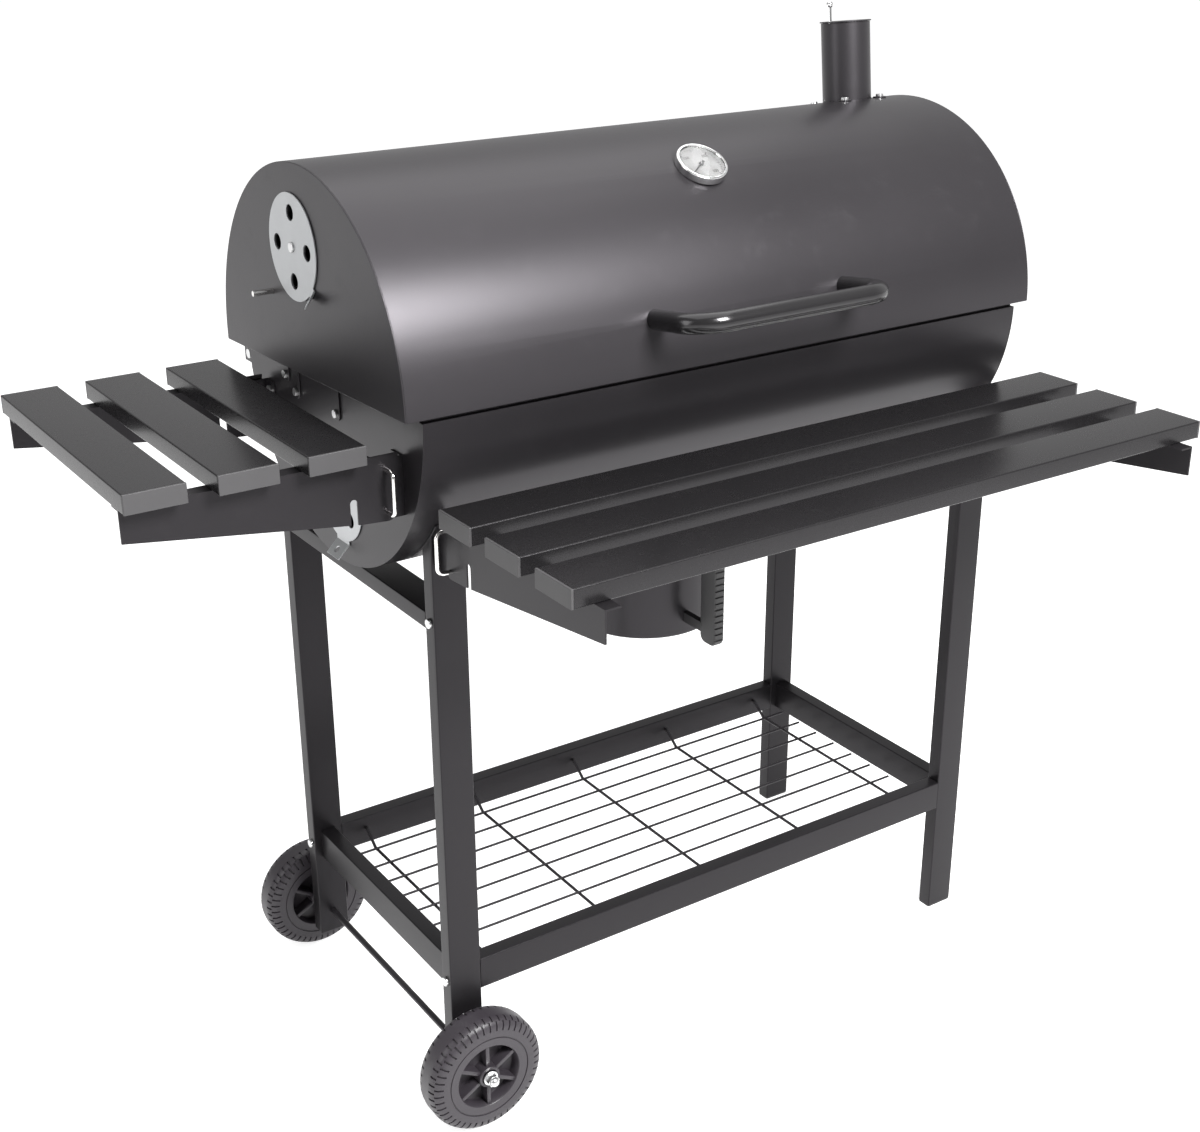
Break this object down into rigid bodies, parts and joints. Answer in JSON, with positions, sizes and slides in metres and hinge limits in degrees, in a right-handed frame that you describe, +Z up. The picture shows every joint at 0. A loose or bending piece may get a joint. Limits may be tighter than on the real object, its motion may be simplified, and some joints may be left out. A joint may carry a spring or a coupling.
{
  "type": "barrel charcoal grill",
  "caption": "Barrel charcoal grill cart with hinged lid, leaning chimney, folding front and side slatted tables, wire shelf, drop-down ash can and two wheels.",
  "frame": {"origin": "middle of the overall bounding box in plan, on the floor", "axes": "+X from the side table towards the chimney end, +Y from the front table towards the lid hinges, +Z up"},
  "size_m": [1.148, 0.771, 1.2096],
  "materials": {
    "lid_paint": "satin",
    "bowl_paint": "satin",
    "frame_paint": "satin",
    "slat_paint": "satin",
    "arm_paint": "satin",
    "handle_paint": "semi-gloss",
    "zinc": "bright zinc",
    "vent_metal": "satin",
    "clip_chrome": "polished",
    "cap_plastic": "matte",
    "wheel_plastic": "matte",
    "foot_plastic": "matte",
    "grate_enamel": "enamelled",
    "wire_paint": "satin",
    "axle_steel": "blackened",
    "gauge_steel": "polished",
    "dial_face": "printed",
    "gauge_glass": "clear",
    "needle_paint": "satin",
    "grip_plastic": "ribbed"
  },
  "bodies": {
    "cart": {"bowl_shell": "bowl_paint", "bowl_left_end": "bowl_paint", "bowl_right_end": "bowl_paint", "end_straps": "bowl_paint", "grate_ledges": "bowl_paint", "ash_collar": "bowl_paint", "cooking_grates": "grate_enamel", "charcoal_grate": "grate_enamel", "front_left_leg": "frame_paint", "rear_left_leg": "frame_paint", "front_right_leg": "frame_paint", "rear_right_leg": "frame_paint", "leg_saddles": "bowl_paint", "cross_tubes": "frame_paint", "shelf_front_rail": "frame_paint", "shelf_rear_rail": "frame_paint", "shelf_side_rails": "frame_paint", "shelf_grid": "wire_paint", "frame_bolts": "zinc", "foot_plugs": "foot_plastic", "axle": "axle_steel", "axle_nuts": "zinc", "side_brackets": "arm_paint", "front_brackets": "arm_paint", "hinge_brackets": "arm_paint", "bowl_fasteners": "zinc"},
    "lid": {"lid_shell": "lid_paint", "lid_left_end": "lid_paint", "lid_right_end": "lid_paint", "lid_leaves": "lid_paint", "lid_handle": "handle_paint", "lid_fasteners": "zinc", "gauge_case": "gauge_steel", "gauge_dial": "dial_face", "gauge_glass": "gauge_glass", "chimney": "lid_paint", "chimney_bolts": "zinc", "cap_pin": "gauge_steel"},
    "gauge_needle": {"gauge_needle": "needle_paint"},
    "chimney_cap": {"chimney_cap": "lid_paint"},
    "vent_disc": {"vent_disc": "vent_metal"},
    "damper_disc": {"damper_disc": "vent_metal"},
    "warming_rack": {"warming_rack": "clip_chrome"},
    "side_table": {"side_slats": "slat_paint", "side_slat_caps": "cap_plastic", "side_arms": "arm_paint", "side_screws": "zinc"},
    "front_table": {"front_slats": "slat_paint", "front_slat_caps": "cap_plastic", "front_arms": "arm_paint", "front_screws": "zinc"},
    "side_clip_front": {"side_clip_front": "clip_chrome"},
    "side_clip_rear": {"side_clip_rear": "clip_chrome"},
    "front_clip_left": {"front_clip_left": "clip_chrome"},
    "front_clip_right": {"front_clip_right": "clip_chrome"},
    "front_wheel": {"front_wheel": "wheel_plastic"},
    "rear_wheel": {"rear_wheel": "wheel_plastic"},
    "ash_can": {"ash_can": "bowl_paint", "ash_handle": "grip_plastic"}
  },
  "joints": [
    {"name": "lid_hinge", "type": "hinge", "parent": "cart", "child": "lid", "pos_m": [0.1195, 0.3145, 0.842], "axis": [-1, 0, 0], "range_deg": [0, 85]},
    {"name": "gauge_needle_turn", "type": "hinge", "parent": "lid", "child": "gauge_needle", "pos_m": [0.121, -0.02675, 1.06515], "axis": [0, -0.515, 0.8572], "range_deg": [-250, 20]},
    {"name": "chimney_cap_swing", "type": "hinge", "parent": "lid", "child": "chimney_cap", "pos_m": [0.4415, 0.13922, 1.18375], "axis": [0, 0.1045, 0.9945], "range_deg": [0, 110]},
    {"name": "vent_turn", "type": "hinge", "parent": "lid", "child": "vent_disc", "pos_m": [-0.3044, 0.0985, 1.009], "axis": [1, 0, 0], "range_deg": [0, 45]},
    {"name": "damper_turn", "type": "hinge", "parent": "cart", "child": "damper_disc", "pos_m": [-0.2824, 0.0695, 0.741], "axis": [1, 0, 0], "range_deg": [-45, 0]},
    {"name": "rack_swing", "type": "hinge", "parent": "lid", "child": "warming_rack", "pos_m": [0.116, 0.1605, 0.951], "axis": [1, 0, 0], "range_deg": [-90, 90]},
    {"name": "side_table_fold", "type": "hinge", "parent": "cart", "child": "side_table", "pos_m": [-0.302, 0.0845, 0.774], "axis": [0, -1, 0], "range_deg": [0, 90]},
    {"name": "front_table_fold", "type": "hinge", "parent": "cart", "child": "front_table", "pos_m": [0.149, -0.1035, 0.704], "axis": [1, 0, 0], "range_deg": [0, 90]},
    {"name": "side_clip_front_pull", "type": "slide", "parent": "side_table", "child": "side_clip_front", "axis": [0, -1, 0], "range_m": [0, 0.005]},
    {"name": "side_clip_rear_pull", "type": "slide", "parent": "side_table", "child": "side_clip_rear", "axis": [0, 1, 0], "range_m": [0, 0.005]},
    {"name": "front_clip_left_pull", "type": "slide", "parent": "front_table", "child": "front_clip_left", "axis": [-1, 0, 0], "range_m": [0, 0.005]},
    {"name": "front_clip_right_pull", "type": "slide", "parent": "front_table", "child": "front_clip_right", "axis": [1, 0, 0], "range_m": [0, 0.005]},
    {"name": "front_wheel_spin", "type": "hinge", "parent": "cart", "child": "front_wheel", "pos_m": [-0.2325, -0.1235, 0.0735], "axis": [0, 1, 0], "continuous": true},
    {"name": "rear_wheel_spin", "type": "hinge", "parent": "cart", "child": "rear_wheel", "pos_m": [-0.2325, 0.3255, 0.0735], "axis": [0, 1, 0], "continuous": true},
    {"name": "ash_can_drop", "type": "slide", "parent": "cart", "child": "ash_can", "axis": [0, 0, -1], "range_m": [0, 0.1]}
  ]
}
